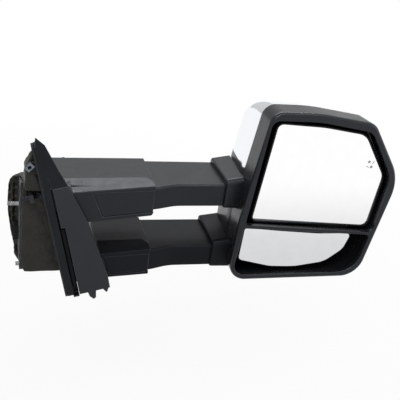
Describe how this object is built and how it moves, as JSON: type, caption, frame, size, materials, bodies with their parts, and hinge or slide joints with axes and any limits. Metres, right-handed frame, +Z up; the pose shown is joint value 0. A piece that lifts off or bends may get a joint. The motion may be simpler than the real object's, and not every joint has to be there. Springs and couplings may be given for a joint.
{
  "type": "car side mirror",
  "caption": "Telescoping towing mirror: door mount, folding twin sleeves, sliding arms and a head with tilting main and spotter glass.",
  "frame": {"origin": "on the clamp face of the mount block, midway between the two arms", "axes": "+X outboard along the arms, +Y towards the front of the vehicle, +Z up"},
  "size_m": [0.5614, 0.149, 0.2894],
  "materials": {
    "grained_black_plastic": "fine grained, satin",
    "smooth_black_plastic": "smooth",
    "inner_black_plastic": "matte",
    "satin_black_arm": "satin",
    "black_rubber": "matte",
    "black_foam": "soft closed-cell foam with a creased skin",
    "cast_aluminium": "as cast",
    "zinc_steel": "zinc plated",
    "dark_steel": "black phosphated",
    "dark_bolt": "blued",
    "brass": "machined",
    "white_nylon": "natural",
    "chrome_plate": "polished plating",
    "mirror_glass": "silvered",
    "mark_grey": "etched",
    "heater_film": "printed film",
    "amber_lens": "clear amber",
    "clear_lens": "clear",
    "lamp_housing": "matte",
    "circuit_board": "laminate"
  },
  "bodies": {
    "door_base": {"sail_base": "grained_black_plastic", "door_seal": "black_rubber", "base_bracket": "cast_aluminium", "mounting_studs": "zinc_steel", "foam_gasket": "black_foam", "captive_bolt": "dark_bolt", "u_nut": "zinc_steel", "harness_connector": "smooth_black_plastic", "connector_pins": "brass", "base_hinge_leaf": "dark_steel", "hinge_pin": "dark_steel", "friction_washers": "dark_steel", "base_screws": "zinc_steel", "front_screws": "zinc_steel"},
    "sleeve_arm": {"arm_hinge_leaf": "dark_steel", "sail_cover": "grained_black_plastic", "upper_sleeve": "grained_black_plastic", "lower_sleeve": "grained_black_plastic", "upper_sleeve_insert": "grained_black_plastic", "lower_sleeve_insert": "grained_black_plastic", "arm_root_plate": "cast_aluminium", "arm_screws": "zinc_steel", "sleeve_bushes": "white_nylon"},
    "head": {"upper_arm": "satin_black_arm", "lower_arm": "satin_black_arm", "arm_end_bushes": "white_nylon", "slide_spring": "zinc_steel", "upper_collar": "grained_black_plastic", "lower_collar": "grained_black_plastic", "head_frame": "inner_black_plastic", "bezel": "grained_black_plastic", "chrome_cap": "chrome_plate", "lower_housing": "grained_black_plastic", "signal_lens": "amber_lens", "signal_board": "circuit_board", "puddle_lens": "clear_lens", "puddle_lamp": "lamp_housing", "actuator_case": "inner_black_plastic", "actuator_cover": "inner_black_plastic", "actuator_screws": "zinc_steel", "drive_motors": "zinc_steel", "drive_worms": "brass", "spot_mount": "inner_black_plastic"},
    "main_gimbal": {"main_gimbal": "white_nylon"},
    "main_mirror": {"main_backplate": "inner_black_plastic", "heater_pad": "heater_film", "main_glass": "mirror_glass", "blind_spot_mark": "mark_grey"},
    "spot_gimbal": {"spot_gimbal": "white_nylon"},
    "spot_mirror": {"spot_backplate": "inner_black_plastic", "spot_glass": "mirror_glass"},
    "pan_jack": {"pan_jack": "white_nylon"},
    "tilt_jack": {"tilt_jack": "white_nylon"},
    "pan_jack_nut": {"pan_jack_nut": "brass"},
    "tilt_jack_nut": {"tilt_jack_nut": "brass"}
  },
  "joints": [
    {"name": "fold", "type": "hinge", "parent": "door_base", "child": "sleeve_arm", "pos_m": [0.0576, -0.0715, 0], "axis": [0.2284, 0, -0.9736], "range_deg": [0, 70]},
    {"name": "telescope", "type": "slide", "parent": "sleeve_arm", "child": "head", "axis": [1, 0, 0], "range_m": [-0.072, 0]},
    {"name": "main_pan", "type": "hinge", "parent": "head", "child": "main_gimbal", "pos_m": [0.425, -0.046, 0.09], "axis": [0, 0, 1], "range_deg": [-7, 7]},
    {"name": "main_tilt", "type": "hinge", "parent": "main_gimbal", "child": "main_mirror", "pos_m": [0.425, -0.046, 0.09], "axis": [1, 0, 0], "range_deg": [-7, 7]},
    {"name": "spot_pan", "type": "hinge", "parent": "head", "child": "spot_gimbal", "pos_m": [0.405, -0.046, -0.029], "axis": [0, 0, 1], "range_deg": [-7, 7]},
    {"name": "spot_tilt", "type": "hinge", "parent": "spot_gimbal", "child": "spot_mirror", "pos_m": [0.405, -0.046, -0.029], "axis": [1, 0, 0], "range_deg": [-7, 7]},
    {"name": "pan_jack_slide", "type": "slide", "parent": "head", "child": "pan_jack", "axis": [0, 1, 0], "range_m": [-0.004, 0.004]},
    {"name": "tilt_jack_slide", "type": "slide", "parent": "head", "child": "tilt_jack", "axis": [0, 1, 0], "range_m": [-0.004, 0.004]},
    {"name": "pan_nut_spin", "type": "hinge", "parent": "head", "child": "pan_jack_nut", "pos_m": [0.453, -0.03, 0.09], "axis": [0, 1, 0], "range_deg": [-215, 215]},
    {"name": "tilt_nut_spin", "type": "hinge", "parent": "head", "child": "tilt_jack_nut", "pos_m": [0.425, -0.03, 0.062], "axis": [0, 1, 0], "range_deg": [-215, 215]}
  ],
  "couplings": [
    {"joint": "pan_jack_slide", "follows": "main_pan", "m_per_rad": 0.028},
    {"joint": "tilt_jack_slide", "follows": "main_tilt", "m_per_rad": 0.028},
    {"joint": "pan_nut_spin", "follows": "main_pan", "ratio": 29.322},
    {"joint": "tilt_nut_spin", "follows": "main_tilt", "ratio": 29.322}
  ]
}
